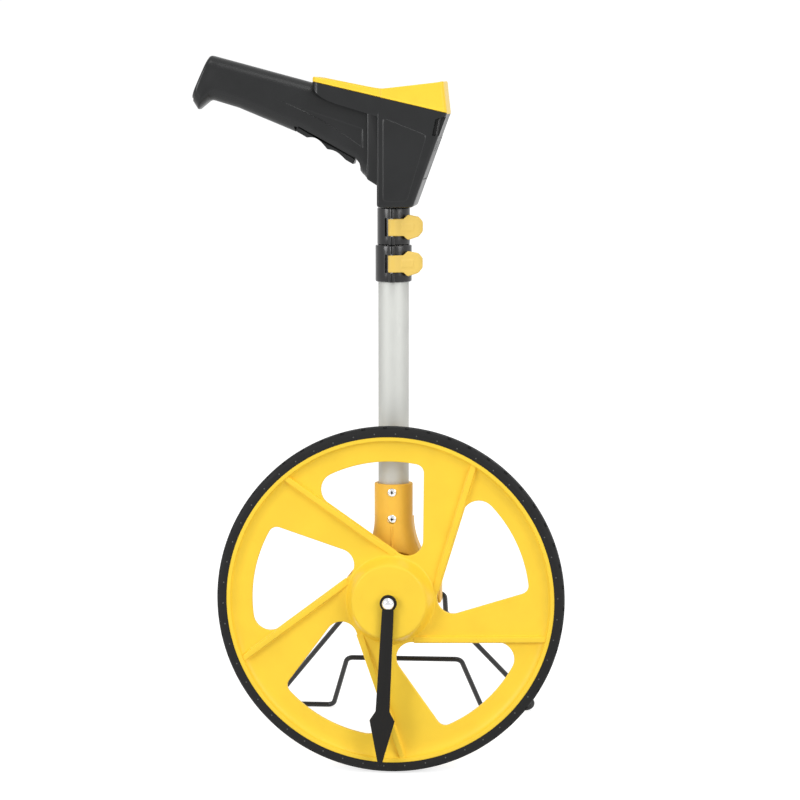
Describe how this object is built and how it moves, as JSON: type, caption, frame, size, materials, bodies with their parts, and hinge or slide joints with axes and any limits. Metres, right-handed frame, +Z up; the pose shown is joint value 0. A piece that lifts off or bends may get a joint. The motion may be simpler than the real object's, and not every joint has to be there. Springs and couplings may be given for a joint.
{
  "type": "digital measuring wheel",
  "caption": "Walking distance-measuring wheel on a wire stand, with telescopic tube, clamp levers, pendulum pointer, pistol handle with trigger and a display head.",
  "frame": {"origin": "point where the tyre meets the floor, with the object parked on its stand", "axes": "+X the rolling direction, +Y towards the stand, +Z up"},
  "size_m": [0.3431, 0.1996, 0.6374],
  "materials": {
    "yellow_abs": "moulded ABS, satin gloss",
    "amber_abs": "moulded ABS, satin gloss",
    "tyre_rubber": "moulded rubber, matt",
    "black_abs": "moulded ABS, fine satin grain",
    "black_nylon": "moulded nylon, satin",
    "key_rubber": "silicone rubber, matt",
    "black_wire": "black powder coat on steel wire",
    "steel": "zinc-plated steel",
    "chrome": "bright chrome",
    "aluminium": "silver anodised",
    "board": "green solder mask",
    "lcd": "grey-green display",
    "window": "clear acrylic",
    "cell": "plain battery jacket"
  },
  "bodies": {
    "chassis": {"axle_bracket": "amber_abs", "axle": "steel", "axle_cap": "chrome", "axle_nut": "steel", "hub_spacers": "steel", "sensor_board": "board", "outer_tube": "aluminium", "socket_screws": "steel", "lower_collar": "black_nylon", "lower_lever_pin": "steel"},
    "wheel": {"wheel_disc": "yellow_abs", "tyre": "tyre_rubber", "wheel_bearings": "steel", "bearing_sleeve": "aluminium", "magnet_ring": "black_nylon"},
    "pointer": {"pointer": "black_abs"},
    "stand": {"stand_wire": "black_wire"},
    "lower_lever": {"lower_lever": "yellow_abs"},
    "upper_lever": {"upper_lever": "yellow_abs"},
    "middle": {"middle_tube": "aluminium", "middle_plug": "black_nylon", "upper_collar": "black_nylon", "upper_lever_pin": "steel"},
    "head": {"inner_tube": "aluminium", "inner_plug": "black_nylon", "shell_near": "black_abs", "shell_far": "black_abs", "display_bezel": "yellow_abs", "display_window": "window", "lcd_panel": "lcd", "main_board": "board", "batteries": "cell", "battery_contacts": "steel", "shell_screws": "steel", "strap_bar": "steel", "trigger_pin": "steel", "trigger_switch": "black_nylon"},
    "battery_door": {"battery_door": "black_abs"},
    "trigger": {"trigger": "black_abs"},
    "key_power": {"key_power": "key_rubber"},
    "key_unit": {"key_unit": "key_rubber"},
    "key_hold": {"key_hold": "key_rubber"}
  },
  "joints": [
    {"name": "wheel_spin", "type": "hinge", "parent": "chassis", "child": "wheel", "pos_m": [0, 0.02566, 0.15704], "axis": [0, 0.9822, -0.1879], "continuous": true},
    {"name": "pointer_swing", "type": "hinge", "parent": "chassis", "child": "pointer", "pos_m": [0, 0.00405, 0.16117], "axis": [0, 0.9822, -0.1879], "continuous": true},
    {"name": "stand_fold", "type": "hinge", "parent": "chassis", "child": "stand", "pos_m": [0, 0.07872, 0.14434], "axis": [1, 0, 0], "range_deg": [0, 140]},
    {"name": "lower_lever_open", "type": "hinge", "parent": "chassis", "child": "lower_lever", "pos_m": [0, 0.0971, 0.4538], "axis": [0, -0.1879, -0.9822], "range_deg": [0, 110]},
    {"name": "middle_slide", "type": "slide", "parent": "chassis", "child": "middle", "axis": [0, 0.1879, 0.9822], "range_m": [0, 0.19]},
    {"name": "upper_lever_open", "type": "hinge", "parent": "middle", "child": "upper_lever", "pos_m": [0, 0.10496, 0.48691], "axis": [0, -0.1879, -0.9822], "range_deg": [0, 110]},
    {"name": "head_slide", "type": "slide", "parent": "middle", "child": "head", "axis": [0, 0.1879, 0.9822], "range_m": [0, 0.19]},
    {"name": "trigger_pull", "type": "hinge", "parent": "head", "child": "trigger", "pos_m": [-0.0825, 0.13938, 0.57583], "axis": [0, -0.9822, 0.1879], "range_deg": [0, 5], "stiffness_Nm_per_rad": 1, "springref_deg": -5.73},
    {"name": "battery_door_lift", "type": "slide", "parent": "head", "child": "battery_door", "axis": [0.9397, -0.0643, -0.3359], "range_m": [0, 0.03]},
    {"name": "key_power_press", "type": "slide", "parent": "head", "child": "key_power", "axis": [-0.2213, -0.1832, -0.9578], "range_m": [0, 0.0008], "stiffness_N_per_m": 800, "springref_m": -0.001},
    {"name": "key_unit_press", "type": "slide", "parent": "head", "child": "key_unit", "axis": [-0.2213, -0.1832, -0.9578], "range_m": [0, 0.0008], "stiffness_N_per_m": 800, "springref_m": -0.001},
    {"name": "key_hold_press", "type": "slide", "parent": "head", "child": "key_hold", "axis": [-0.2213, -0.1832, -0.9578], "range_m": [0, 0.0008], "stiffness_N_per_m": 800, "springref_m": -0.001}
  ]
}
